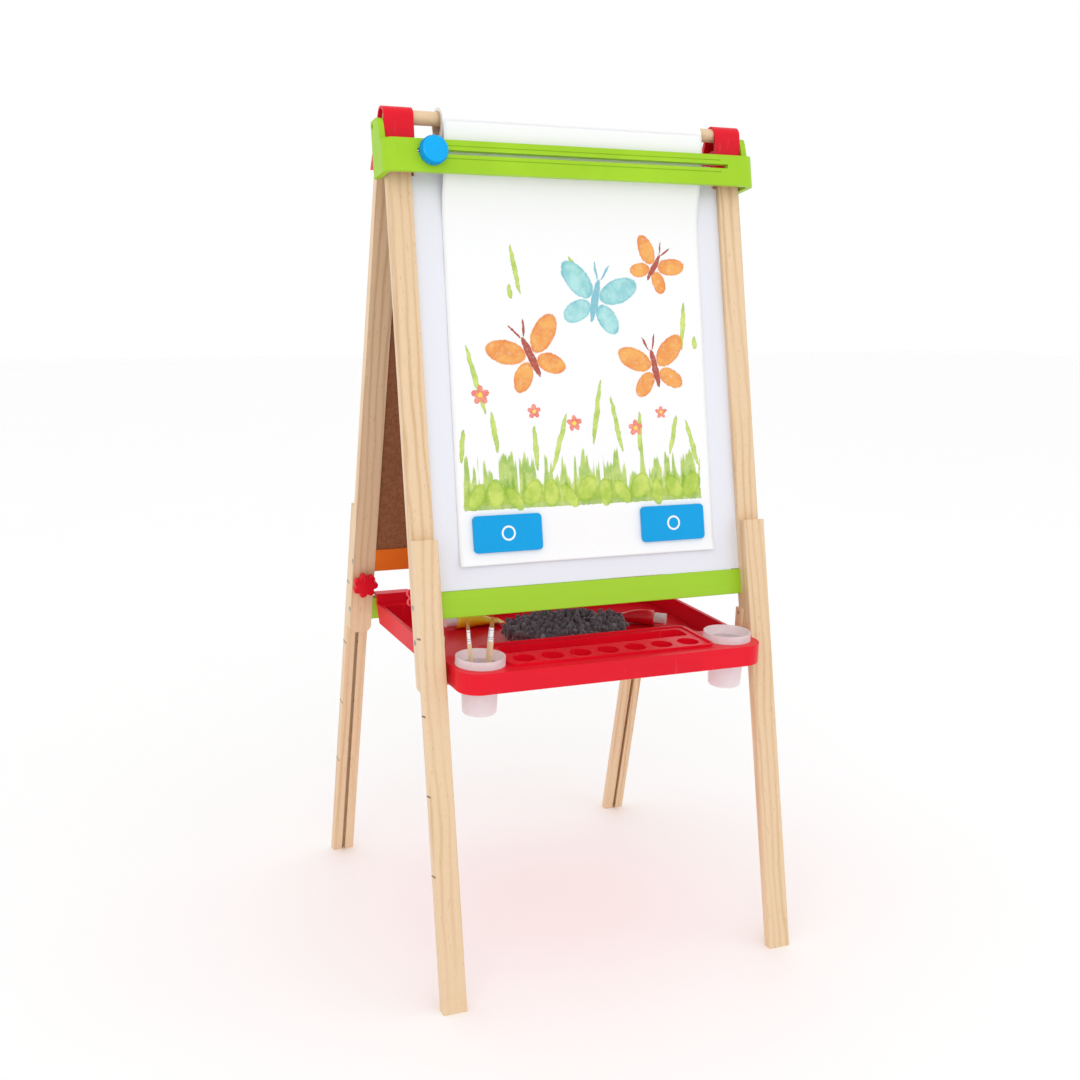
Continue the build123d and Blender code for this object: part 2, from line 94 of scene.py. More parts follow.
def on_front(x, s, off):
    """Point s down the front legs and off ahead of their face."""
    return Vector((x, FRONT_Y, REF_HEIGHT)) + s * FRONT_DOWN + off * FRONT_OUT


# ---------------------------------------------------------------- node helpers


class Wire:
    """One output socket with arithmetic."""

    def __init__(self, web, socket):
        self.web, self.socket = web, socket

    def _math(self, operation, *values):
        return self.web.node("ShaderNodeMath", {"operation": operation}, values)

    def __add__(self, other):
        return self._math("ADD", self, other)

    def __sub__(self, other):
        return self._math("SUBTRACT", self, other)

    def __rsub__(self, other):
        return self._math("SUBTRACT", other, self)

    def __mul__(self, other):
        return self._math("MULTIPLY", self, other)

    def __truediv__(self, other):
        return self._math("DIVIDE", self, other)

    __radd__, __rmul__ = __add__, __mul__

    def __gt__(self, other):
        return self._math("GREATER_THAN", self, other)

    def __lt__(self, other):
        return self._math("LESS_THAN", self, other)

    def power(self, exponent):
        return self._math("POWER", self, exponent)

    def sine(self):
        return self._math("SINE", self)

    def size(self):
        return self._math("ABSOLUTE", self)

    def ramp(self, low, high):
        """0 at low to 1 at high, smoothly."""
        spread = {"interpolation_type": "SMOOTHSTEP"}
        return self.web.node("ShaderNodeMapRange", spread, (self, low, high, 0.0, 1.0))


class Web:
    """A node tree that is filled by calls."""

    def __init__(self, tree):
        self.tree = tree

    def node(self, kind, settings=None, inputs=(), out=0):
        made = self.tree.nodes.new(kind)
        for key, value in (settings or {}).items():
            setattr(made, key, value)
        pairs = inputs.items() if isinstance(inputs, dict) else enumerate(inputs)
        for key, value in pairs:
            if isinstance(value, Wire):
                self.tree.links.new(value.socket, made.inputs[key])
            else:
                made.inputs[key].default_value = value
        return Wire(self, made.outputs[out])


def separated(web, vector):
    """The vector's three parts as wires."""
    made = web.node("ShaderNodeSeparateXYZ", None, (vector,)).socket.node
    return [Wire(web, socket) for socket in made.outputs]


class Finish(Web):
    """A material under construction, ending in one Principled shader."""

    def __init__(self, name, **constants):
        self.material = bpy.data.materials.new(name)
        self.material.use_nodes = True
        super().__init__(self.material.node_tree)
        self.shader = self.tree.nodes["Principled BSDF"]
        for key, value in constants.items():
            self.shader.inputs[key.replace("_", " ")].default_value = value

    def feed(self, **links):
        for key, wire in links.items():
            self.tree.links.new(wire.socket, self.shader.inputs[key.replace("_", " ")])
        return self.material

    def place(self, turn=(0, 0, 0), stretch=(1, 1, 1)):
        spot = self.node("ShaderNodeTexCoord", out="Object")
        return self.node("ShaderNodeMapping", None, {"Vector": spot, "Rotation": turn, "Scale": stretch})

    def grain(self, place, scale, detail=2.0, rough=0.5):
        fed = {"Vector": place, "Scale": scale, "Detail": detail, "Roughness": rough}
        return self.node("ShaderNodeTexNoise", None, fed)

    def dot(self, vector, direction):
        return self.node("ShaderNodeVectorMath", {"operation": "DOT_PRODUCT"}, (vector, direction), "Value")

    def blend(self, factor, low, high):
        fed = {0: factor, 6: low, 7: high}
        return self.node("ShaderNodeMix", {"data_type": "RGBA"}, fed, 2)

    def bump(self, height, distance, strength=1.0):
        fed = {"Height": height, "Distance": distance, "Strength": strength}
        return self.node("ShaderNodeBump", None, fed)


def shade(colour, factor):
    """The colour lighter or darker, opaque."""
    return tuple(min(1.0, channel * factor) for channel in colour[:3]) + (1.0,)


def paint(nodes, material):
    """Gives CAD nodes their finish."""
    for node in nodes:
        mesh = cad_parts[node].data
        if not mesh.materials:
            mesh.materials.append(material)
        for index in range(len(mesh.materials)):
            mesh.materials[index] = material


def piece(name, mesh, body, slot, *replaced):
    """A finished mesh as an object that rides on a body."""
    made = bpy.data.objects.new(name, mesh)
    bpy.context.scene.collection.objects.link(made)
    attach(made, body)
    if replaced:
        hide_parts(*replaced)
    return made


def mesh_from(name, corners, faces, material, smooth=True):
    mesh = bpy.data.meshes.new(name)
    mesh.from_pydata([tuple(corner) for corner in corners], [], faces)
    mesh.materials.append(material)
    mesh.shade_smooth() if smooth else mesh.shade_flat()
    return mesh


def grown(name, tree, inputs, carrier):
    """The plain mesh that a Geometry Nodes tree makes from a carrier mesh."""
    host = bpy.data.objects.new(name, carrier)
    bpy.context.scene.collection.objects.link(host)
    modifier = host.modifiers.new("grow", "NODES")
    modifier.node_group = tree
    for item in tree.interface.items_tree:
        if item.in_out == "INPUT" and item.name in inputs:
            modifier[item.identifier] = inputs[item.name]
    bpy.context.view_layer.update()
    graph = bpy.context.evaluated_depsgraph_get()
    plain = bpy.data.meshes.new_from_object(host.evaluated_get(graph), depsgraph=graph)
    plain.name = name
    bpy.data.objects.remove(host)
    return plain


def growth_tree(name, sockets):
    """An empty Geometry Nodes tree with named inputs, as a web and its input wires."""
    tree = bpy.data.node_groups.new(name, "GeometryNodeTree")
    tree.interface.new_socket("Geometry", in_out="OUTPUT", socket_type="NodeSocketGeometry")
    tree.interface.new_socket("Geometry", in_out="INPUT", socket_type="NodeSocketGeometry")
    for label, kind in sockets:
        tree.interface.new_socket(label, in_out="INPUT", socket_type="NodeSocket" + kind)
    web = Web(tree)
    entry = tree.nodes.new("NodeGroupInput")
    return web, {socket.name: Wire(web, socket) for socket in entry.outputs if socket.name}


def end_tree(web, geometry, material):
    """Realizes, gives the material and joins to the tree's output."""
    plain = web.node("GeometryNodeRealizeInstances", None, {"Geometry": geometry})
    shaded = web.node("GeometryNodeSetMaterial", None, {"Geometry": plain, "Material": material})
    out = web.tree.nodes.new("NodeGroupOutput")
    web.tree.links.new(shaded.socket, out.inputs[0])
    return web.tree


# ------------------------------------------------------------------- finishes


def pine(name, colours, turn, marks=None):
    """Clear-finished pine with its grain along local Z; marks is a leg's (origin, down) for its scale."""
    made = Finish(name, Coat_Weight=0.06, Coat_Roughness=0.25, Specular_IOR_Level=0.35)
    place = made.place(turn)
    x, y = separated(made, place)[:2]
    long_place = made.place(turn, (1, 1, 0.045))
    drift = made.grain(long_place, 16.0, 3.0)
    rings = ((x + y * 0.45 + drift * 0.03) * 620.0).sine() * 0.5 + 0.5
    late = rings.power(3.0) * made.grain(long_place, 9.0).ramp(0.35, 0.62)
    fibre = made.grain(made.place(turn, (1, 1, 0.02)), 900.0, 2.0)
    flecks = made.grain(made.place(turn, (1, 1, 0.08)), 420.0, 1.0).ramp(0.66, 0.74)
    board = made.grain(made.place(turn, (1, 1, 0.3)), 5.0, 1.0)
    tone = late * 0.55 + fibre * 0.3 + board * 0.35 - 0.12
    colour = made.blend(tone, tuple(colours.pine), tuple(colours.pine_dark))
    colour = made.blend(flecks * 0.25, colour, shade(colours.pine_dark, 0.72))
    if marks:
        origin, down = marks
        spot = made.node("ShaderNodeTexCoord", out="Object")
        along = made.dot(spot, tuple(down)) - Vector(origin).dot(down)
        facing = separated(made, made.node("ShaderNodeNewGeometry", out="Normal"))[0]
        side = (facing * separated(made, spot)[0]) > OUTER_SIDE
        ticks = 0.0
        for mark in MARKS:
            ticks = ((along - mark).size() < TICK_HALF) + ticks
        colour = made.blend(ticks * side * 0.85, colour, (0.06, 0.045, 0.03, 1))
    relief = made.bump(fibre * 0.6 + late * 0.8, 0.00012, 0.5)
    return made.feed(Base_Color=colour, Roughness=fibre * 0.16 + 0.36, Normal=relief)


def moulded(name, colour, rough=0.3, coat=0.05, mottle=0.05):
    """Injection-moulded plastic: slight flow mottle, fine orange peel and handling scuffs."""
    made = Finish(name, Coat_Weight=coat, Coat_Roughness=0.14, Specular_IOR_Level=0.18)
    place = made.place()
    flow = made.grain(place, 14.0, 3.0)
    peel = made.grain(place, 1100.0, 1.0)
    scuff = made.grain(made.place((0.4, 0.7, 0.2), (1, 1, 0.12)), 240.0, 4.0).ramp(0.62, 0.8)
    body = made.blend(flow.ramp(0.3, 0.7), shade(colour, 1 - mottle), shade(colour, 1 + mottle))
    body = made.blend(scuff * 0.05, body, (0.9, 0.9, 0.9, 1))
    relief = made.bump(peel, 0.00003, 0.5)
    return made.feed(Base_Color=body, Roughness=peel * 0.06 + scuff * 0.12 + rough, Normal=relief)


def lacquered(name, colour):
    """Opaque lacquer over wood, its grain just telegraphing along X."""
    made = Finish(name, Coat_Weight=0.08, Coat_Roughness=0.15, Specular_IOR_Level=0.3)
    fibre = made.grain(made.place((0, 0, 0), (0.03, 1, 1)), 500.0, 3.0)
    cloud = made.grain(made.place(), 9.0, 2.0)
    body = made.blend(fibre * 0.6 + cloud * 0.4, shade(colour, 0.93), shade(colour, 1.06))
    return made.feed(Base_Color=body, Roughness=cloud * 0.1 + 0.28, Normal=made.bump(fibre, 0.00008, 0.5))


def dry_wipe(name, colour):
    made = Finish(name, Coat_Weight=0.5, Coat_Roughness=0.08)
    smear = made.grain(made.place((0.3, 0.2, 0.5), (1.0, 1.0, 0.25)), 22.0, 5.0, 0.6)
    body = made.blend(smear.ramp(0.5, 0.9) * 0.3, tuple(colour), shade(colour, 0.95))
    orange = made.grain(made.place(), 700.0, 1.0)
    return made.feed(Base_Color=body, Roughness=smear * 0.12 + 0.16, Normal=made.bump(orange, 0.00002, 0.4))


def chalk_panel(name, chalk, hardboard):
    """Black chalk face at the back, bare pressed hardboard towards the front."""
    made = Finish(name)
    facing = made.dot(made.node("ShaderNodeNewGeometry", out="Normal"), (0, 1, 0))
    bare = facing < -0.5
    place = made.place()
    dust = made.grain(made.place((0.2, 0.4, 0.3), (0.4, 1, 1)), 13.0, 6.0, 0.65).ramp(0.45, 0.85)
    fibre = made.grain(place, 260.0, 6.0, 0.7)
    pressed = made.blend(fibre.ramp(0.3, 0.7), shade(hardboard, 0.72), shade(hardboard, 1.25))
    black = made.blend(dust * 0.14, tuple(chalk), (0.42, 0.42, 0.40, 1))
    body = made.blend(bare, black, pressed)
    relief = made.bump(fibre, 0.00015, 0.6)
    return made.feed(Base_Color=body, Roughness=fibre * 0.15 + 0.72, Normal=relief)


def steel(name):
    made = Finish(name, Metallic=1.0)
    turned = made.grain(made.place((0, 0, 0), (0.1, 1, 1)), 900.0, 2.0)
    body = made.blend(turned, (0.34, 0.34, 0.35, 1), (0.55, 0.55, 0.56, 1))
    return made.feed(Base_Color=body, Roughness=turned * 0.2 + 0.28)


def ferrule(name, foot, tip):
    """Bright rolled tin with three crimped rings."""
    made = Finish(name, Metallic=1.0)
    run = tip - foot
    along = made.dot(made.node("ShaderNodeTexCoord", out="Object"), tuple(run.normalized()))
    along = along - foot.dot(run.normalized()) - run.length
    rings = 0.0
    for ring in (-0.0285, -0.0265, -0.0185):
        rings = (1 - (along - ring).size().ramp(0.0, 0.0008)) + rings
    rub = made.grain(made.place(), 500.0, 3.0)
    body = made.blend(rub, (0.72, 0.72, 0.74, 1), (0.9, 0.9, 0.92, 1))
    relief = made.bump(1 - rings, 0.0005, 0.9)
    return made.feed(Base_Color=body, Roughness=rub * 0.12 + 0.18, Normal=relief)


def frosted(name, colour, alpha):
    made = Finish(name, Alpha=alpha, IOR=1.45, Subsurface_Weight=0.0)
    cloud = made.grain(made.place(), 60.0, 3.0)
    grit = made.grain(made.place(), 1500.0, 1.0)
    body = made.blend(cloud, shade(colour, 0.96), shade(colour, 1.03))
    return made.feed(Base_Color=body, Roughness=grit * 0.1 + 0.32, Normal=made.bump(grit, 0.00004, 0.5))


def plain_paper(name, colour, edge_on=False):
    """Drawing paper; edge_on shows the wound layers on a roll's ends."""
    made = Finish(name, Specular_IOR_Level=0.25)
    tooth = made.grain(made.place(), 900.0, 4.0, 0.7)
    body = made.blend(tooth, shade(colour, 0.97), shade(colour, 1.01))
    if edge_on:
        x = separated(made, made.node("ShaderNodeNewGeometry", out="Normal"))[0]
        layers = made.grain(made.place((0, 0, 0), (0.01, 1, 1)), 1400.0, 1.0).ramp(0.4, 0.6)
        body = made.blend((x.size() > 0.7) * layers * 0.3, body, (0.5, 0.5, 0.5, 1))
    return made.feed(Base_Color=body, Roughness=tooth * 0.1 + 0.78, Normal=made.bump(tooth, 0.00004, 0.5))


def card(name, colour):
    made = Finish(name)
    pulp = made.grain(made.place(), 420.0, 5.0, 0.7)
    body = made.blend(pulp, shade(colour, 0.8), shade(colour, 1.2))
    return made.feed(Base_Color=body, Roughness=pulp * 0.1 + 0.8, Normal=made.bump(pulp, 0.0001, 0.5))


def painted_magnet(name, colour, centre):
    """Blue moulding with a plain printed ring in the middle."""
    made = Finish(name, Coat_Weight=0.05, Coat_Roughness=0.14, Specular_IOR_Level=0.18)
    spot = made.node("ShaderNodeTexCoord", out="Object")
    across = made.dot(spot, (1, 0, 0)) - centre.x
    down = made.dot(spot, tuple(FRONT_DOWN)) - centre.dot(FRONT_DOWN)
    reach = (across * across + down * down).power(0.5)
    ring = 1 - (reach - 0.0075).size().ramp(0.0009, 0.0013)
    out = made.dot(made.node("ShaderNodeNewGeometry", out="Normal"), tuple(FRONT_OUT)) > 0.8
    peel = made.grain(made.place(), 900.0, 1.0)
    cloud = made.grain(made.place(), 20.0, 2.0)
    body = made.blend(cloud, shade(colour, 0.95), shade(colour, 1.05))
    body = made.blend(ring * out, body, (0.9, 0.93, 0.96, 1))
    return made.feed(Base_Color=body, Roughness=peel * 0.08 + 0.3, Normal=made.bump(peel, 0.00003, 0.5))


class Picture(Finish):
    """Paper with soft brush marks laid over each other in page coordinates."""

    def __init__(self, name, paper):
        super().__init__(name, Specular_IOR_Level=0.25)
        page = self.node("ShaderNodeUVMap", {"uv_map": "page"})
        self.page = page
        wobble = self.grain(page, 42.0, 3.0)
        fine = self.grain(page, 170.0, 2.0)
        self.u, self.v = separated(self, page)[:2]
        self.u = self.u + (wobble - 0.5) * 0.010 + (fine - 0.5) * 0.003
        self.v = self.v + (fine - 0.5) * 0.006
        self.pool = self.grain(page, 26.0, 4.0, 0.6)
        self.dry = self.grain(page, 120.0, 3.0, 0.7)
        tooth = self.grain(self.place(), 900.0, 4.0, 0.7)
        self.tooth = tooth
        self.colour = self.blend(tooth, shade(paper, 0.97), shade(paper, 1.01))

    def dab(self, u, v, length, width, angle, pale, deep):
        """One loaded-brush dab: an oval with a darker wet edge."""
        turn = radians(angle)
        du, dv = self.u - u, self.v - v
        along = (du * cos(turn) + dv * sin(turn)) / length
        across = (dv * cos(turn) - du * sin(turn)) / width
        reach = along * along + across * across
        mask = 1 - reach.ramp(0.82, 1.0)
        rim = reach.ramp(0.45, 0.95) * 0.5 + self.pool.ramp(0.35, 0.65) * 0.6
        wash = self.blend(rim, pale + (1,), deep + (1,))
        self.colour = self.blend(mask * (self.dry.ramp(0.2, 0.5) * 0.35 + 0.6), self.colour, wash)

    def meadow(self, base, height, pale, deep):
        """Short upright strokes growing from a wet band."""
        strokes = self.node("ShaderNodeMapping", None, {"Vector": self.page, "Scale": (1, 0.09, 1)})
        blades = self.grain(strokes, 75.0, 2.0, 0.4)
        level = (self.v - base) / height
        mask = (blades - level * 0.62).ramp(0.18, 0.24) * (self.v > base) * (level < 1.2)
        tone = self.pool.ramp(0.35, 0.65) * 0.6 + blades.ramp(0.3, 0.7) * 0.5
        wash = self.blend(tone, pale + (1,), deep + (1,))
        inside = (self.u > PAGE_SIDES[0]) * (self.u < PAGE_SIDES[1])
        self.colour = self.blend(mask * inside * (self.dry.ramp(0.2, 0.5) * 0.3 + 0.6), self.colour, wash)

    def finish(self):
        relief = self.bump(self.tooth, 0.00004, 0.5)
        return self.feed(Base_Color=self.colour, Roughness=self.tooth * 0.1 + 0.72, Normal=relief)


def butterfly(picture, u, v, size, tilt, pale, deep, spine):
    """Four wings, a body and two feelers, turned by tilt degrees."""
    wings = ((0.62, 0.42, 0.62, 0.34, 35), (-0.62, 0.42, 0.62, 0.34, 145))
    wings += ((0.46, -0.40, 0.46, 0.28, -42), (-0.46, -0.40, 0.46, 0.28, 222))
    marks = [(*wing, pale, deep) for wing in wings]
    marks += [(0, 0.0, 0.62, 0.11, 90, spine, spine)]
    marks += [(0.14, 0.80, 0.26, 0.035, 68, spine, spine), (-0.14, 0.80, 0.26, 0.035, 112, spine, spine)]
    turn = radians(tilt)
    for x, y, length, width, angle, light, dark in marks:
        du, dv = x * cos(turn) - y * sin(turn), x * sin(turn) + y * cos(turn)
        picture.dab(u + du * size, v + dv * size, length * size, width * size, angle + tilt, light, dark)


def painted_page(name, paper):
    """A child's meadow: tall grass, small flowers and four butterflies."""
    picture = Picture(name, paper)
    lime, grass = (0.62, 0.74, 0.16), (0.30, 0.50, 0.04)
    for u, v, length, lean in (
        (0.06, 0.42, 0.085, 104), (0.10, 0.30, 0.05, 97), (0.17, 0.67, 0.06, 100), (0.155, 0.62, 0.018, 95),
        (0.26, 0.27, 0.075, 72), (0.33, 0.66, 0.05, 118), (0.36, 0.34, 0.08, 80), (0.41, 0.31, 0.07, 101),
        (0.47, 0.29, 0.05, 88), (0.60, 0.54, 0.06, 84), (0.63, 0.50, 0.016, 90), (0.56, 0.28, 0.05, 76),
        (0.20, 0.26, 0.055, 92), (0.02, 0.27, 0.04, 84), (0.61, 0.26, 0.06, 104),
    ):
        picture.dab(u, v, length, 0.0065, lean, lime, grass)
    picture.meadow(0.135, 0.16, lime, grass)
    picture.meadow(0.125, 0.09, (0.50, 0.62, 0.12), (0.26, 0.44, 0.05))
    for step in range(13):
        rise = 0.008 * sin(2.3 * step)
        lean = 62 + 31 * (step % 3)
        picture.dab(0.05 + 0.046 * step, 0.155 + rise, 0.034, 0.019 + rise * 0.6, lean, lime, grass)
    amber, rust, umber = (0.90, 0.42, 0.08), (0.78, 0.20, 0.02), (0.42, 0.06, 0.03)
    sky, teal = (0.42, 0.76, 0.76), (0.14, 0.50, 0.56)
    butterfly(picture, 0.20, 0.47, 0.085, 24, amber, rust, umber)
    butterfly(picture, 0.37, 0.60, 0.088, -14, sky, teal, (0.20, 0.52, 0.62))
    butterfly(picture, 0.53, 0.68, 0.062, -32, amber, rust, umber)
    butterfly(picture, 0.52, 0.44, 0.078, 12, amber, rust, umber)
    pink, rose, gold = (0.90, 0.32, 0.22), (0.74, 0.07, 0.07), (0.93, 0.72, 0.08)
    flowers = ((0.07, 0.385, 0.013), (0.20, 0.345, 0.010), (0.30, 0.315, 0.011))
    flowers += ((0.46, 0.30, 0.011), (0.53, 0.335, 0.009))
    for u, v, size in flowers:
        for petal in range(5):
            lean = 72 * petal + 20
            du, dv = size * cos(radians(lean)), size * sin(radians(lean))
            picture.dab(u + du, v + dv, size * 0.75, size * 0.6, lean, pink, rose)
        picture.dab(u, v, size * 0.45, size * 0.45, 0, gold, gold)
    return picture.finish()


def chenille(name, dark, tip):
    """Brushed polyester pile, paler where the loops catch the light."""
    made = Finish(name, Sheen_Weight=0.6, Sheen_Roughness=0.4)
    place = made.place()
    fuzz = made.grain(place, 900.0, 4.0, 0.8)
    patch = made.grain(place, 70.0, 3.0)
    up = made.dot(made.node("ShaderNodeNewGeometry", out="Normal"), (0, 0, 1)).ramp(-0.2, 1.0)
    body = made.blend(fuzz.ramp(0.3, 0.7) * 0.5 + patch * 0.4, shade(dark, 0.6), shade(dark, 1.35))
    # painted highlight: loops facing up are blended towards the paler colour, broken up by noise
    body = made.blend(up * patch.ramp(0.5, 0.75) * 0.5, body, tuple(tip))
    return made.feed(Base_Color=body, Roughness=fuzz * 0.1 + 0.85, Normal=made.bump(fuzz, 0.0008, 0.9))


def bristle(name, colour):
    made = Finish(name, Sheen_Weight=0.2)
    strand = made.grain(made.place((0, 0, 0), (1, 1, 0.1)), 1600.0, 3.0)
    body = made.blend(strand, shade(colour, 0.55), shade(colour, 1.5))
    return made.feed(Base_Color=body, Roughness=strand * 0.2 + 0.5)


def soft_tube(name, colour):
    """Squeezed vinyl with faint dents and a glossy skin."""
    made = Finish(name, Coat_Weight=0.4, Coat_Roughness=0.15)
    dent = made.grain(made.place(), 55.0, 2.0)
    fine = made.grain(made.place(), 800.0, 1.0)
    body = made.blend(dent, shade(colour, 0.92), shade(colour, 1.06))
    return made.feed(Base_Color=body, Roughness=fine * 0.08 + 0.3, Normal=made.bump(dent, 0.0012, 0.6))


# ----------------------------------------------------------------- properties


def tint(label, text, colour):
    return bpy.props.FloatVectorProperty(
        name=label, description=text, default=(*colour, 1.0), size=4, min=0.0, max=1.0, subtype="COLOR"
    )


def length(label, text, size):
    return bpy.props.FloatProperty(
        name=label, description=text, default=size, min=0.0, subtype="DISTANCE", unit="LENGTH"
    )


def lamp_power(label, text, watts):
    return bpy.props.FloatProperty(name=label, description=text, default=watts, unit="POWER")


class EaselColours(bpy.types.PropertyGroup):
    pine: tint("Pine", "Pale early wood", (0.86, 0.65, 0.43))
    pine_dark: tint("Pine grain", "Late wood lines", (0.60, 0.36, 0.17))
    red: tint("Red plastic", "Tray, brackets and knobs", (0.78, 0.004, 0.020))
    green: tint("Green", "Paper guide and rails", (0.36, 0.64, 0.02))
    orange: tint("Orange", "Rear bottom rail", (0.90, 0.20, 0.02))
    blue: tint("Blue plastic", "Cutter and magnets", (0.0, 0.35, 0.76))
    board: tint("Whiteboard", "Dry-wipe face", (0.80, 0.81, 0.88))
    chalk: tint("Chalk face", "Matt black paint", (0.025, 0.028, 0.027))
    hardboard: tint("Hardboard", "Bare back of the chalk panel", (0.30, 0.115, 0.045))
    paper: tint("Paper", "Drawing paper", (0.94, 0.94, 0.95))
    kraft: tint("Roll core", "Cardboard core", (0.62, 0.50, 0.38))
    cup: tint("Cups", "Frosted plastic", (0.96, 0.86, 0.89))
    yellow: tint("Yellow paint", "Yellow tube", (0.93, 0.66, 0.01))
    hair: tint("Bristles", "Brush hair", (0.50, 0.20, 0.05))
    chenille: tint("Mitt pile", "Dark loops of the mitt", (0.15, 0.13, 0.16))
    # painted highlight colour, laid on the upward-facing loops of the mitt
    chenille_highlight: tint("Mitt tips", "Worn tips of the loops", (0.46, 0.34, 0.38))


class EaselSizes(bpy.types.PropertyGroup):
    sheet_width: length("Sheet width", "Width of the hanging paper", 0.328)
    sheet_thick: length("Sheet thickness", "Thickness shown for the paper", 0.0003)
    loop_long: length("Loop length", "Half length of one chenille loop", 0.0088)
    loop_thick: length("Loop thickness", "Radius of one chenille loop", 0.0036)
    loop_gap: length("Loop spacing", "Least distance between loops", 0.0062)
    hairs: bpy.props.IntProperty(name="Hairs", description="Hairs in one brush", default=90, min=1)
    cup_alpha: bpy.props.FloatProperty(
        name="Cup opacity",
        description="How solid the cups look",
        default=0.62,
        min=0.0,
        max=1.0,
        subtype="FACTOR",
    )


class EaselStage(bpy.types.PropertyGroup):
    floor: length("Floor", "Width of the floor", 14.0)
    key: lamp_power("Key light", "Power of the main softbox", 9.0)
    fill: lamp_power("Fill light", "Power of the side softbox", 3.0)
    sky: bpy.props.FloatProperty(
        name="Surround", description="Strength of the even light", default=1.0, min=0.0
    )


# ------------------------------------------------------------------ operators


class EASEL_OT_wood(bpy.types.Operator):
    """Finishes the legs, dowel and brush handles in pine"""

    bl_idname = "easel.wood"
    bl_label = "Wood"

    def execute(self, context):
        colours = context.scene.easel_colours
        front_turn, rear_turn = (A, 0, 0), (-B, 0, 0)
        origin = Vector((0, FRONT_Y, REF_HEIGHT))
        rear_origin = Vector((0, REAR_Y, REF_HEIGHT))
        front = pine("pine_front", colours, front_turn)
        rear = pine("pine_rear", colours, rear_turn)
        front_marked = pine("pine_front_marked", colours, front_turn, (origin, FRONT_DOWN))
        rear_marked = pine("pine_rear_marked", colours, rear_turn, (rear_origin, REAR_DOWN))
        for side in SIDES:
            paint([f"front_upper_leg_{side}", f"tray_rest_{side}"], front)
            paint([f"rear_upper_leg_{side}"], rear)
            paint([f"front_lower_leg_{side}"], front_marked)
            paint([f"rear_lower_leg_{side}"], rear_marked)
        paint(["dowel"], pine("pine_dowel", colours, (0, pi / 2, 0)))
        paint([f"{brush}_handle" for brush in BRUSHES], pine("pine_handle", colours, (0, 0, 0)))
        return {"FINISHED"}


class EASEL_OT_mouldings(bpy.types.Operator):
    """Finishes the plastic tray, fittings, guide, cutter, knobs, magnets and cups"""

    bl_idname = "easel.mouldings"
    bl_label = "Mouldings"

    def execute(self, context):
        colours, sizes = context.scene.easel_colours, context.scene.easel_sizes
        red = moulded("red_moulding", colours.red, 0.34)
        paint(["tray", "palette"], red)
        for side in SIDES:
            paint([f"top_bracket_{side}", f"front_star_knob_{side}", f"rear_star_knob_{side}"], red)
        paint(["paper_guide", "guide_pivots"], moulded("green_moulding", colours.green, 0.36))
        paint(["cutter_body"], moulded("blue_moulding", colours.blue, 0.32))
        paint(["cutter_cap"], moulded("blue_cap", shade(colours.blue, 1.15), 0.26))
        for side, x in zip(SIDES, (-MAGNET_X, MAGNET_X)):
            centre = on_front(x, MAGNET_DOWN, -0.001)
            paint([f"magnet_{side}"], painted_magnet(f"magnet_blue_{side}", colours.blue, centre))
        paint(["cup_left", "cup_right"], frosted("cup_frosted", colours.cup, sizes.cup_alpha))
        paint(["tube_yellow_cap", "tube_red_cap"], frosted("cap_frosted", (0.92, 0.90, 0.90), 0.9))
        return {"FINISHED"}


class EASEL_OT_boards(bpy.types.Operator):
    """Finishes the whiteboard, chalk panel and lacquered rails"""

    bl_idname = "easel.boards"
    bl_label = "Boards and rails"

    def execute(self, context):
        colours = context.scene.easel_colours
        paint(["whiteboard"], dry_wipe("dry_wipe", colours.board))
        paint(["chalkboard"], chalk_panel("chalk_panel", colours.chalk, colours.hardboard))
        paint(["front_rail", "support_rail"], lacquered("green_lacquer", colours.green))
        paint(["rear_rail"], lacquered("orange_lacquer", colours.orange))
        return {"FINISHED"}


class EASEL_OT_hardware(bpy.types.Operator):
    """Finishes the screws, bolts and pins"""

    bl_idname = "easel.hardware"
    bl_label = "Hardware"

    def execute(self, context):
        fixings = ["front_rail_screws", "tray_rest_screws", "rear_rail_screws", "hinge_pins"]
        paint(fixings + ["front_clamp_bolts", "rear_clamp_bolts"], steel("zinc_steel"))
        for brush, (foot, tip, _) in BRUSHES.items():
            paint([f"{brush}_ferrule"], ferrule(f"{brush}_tin", foot, tip))
        return {"FINISHED"}


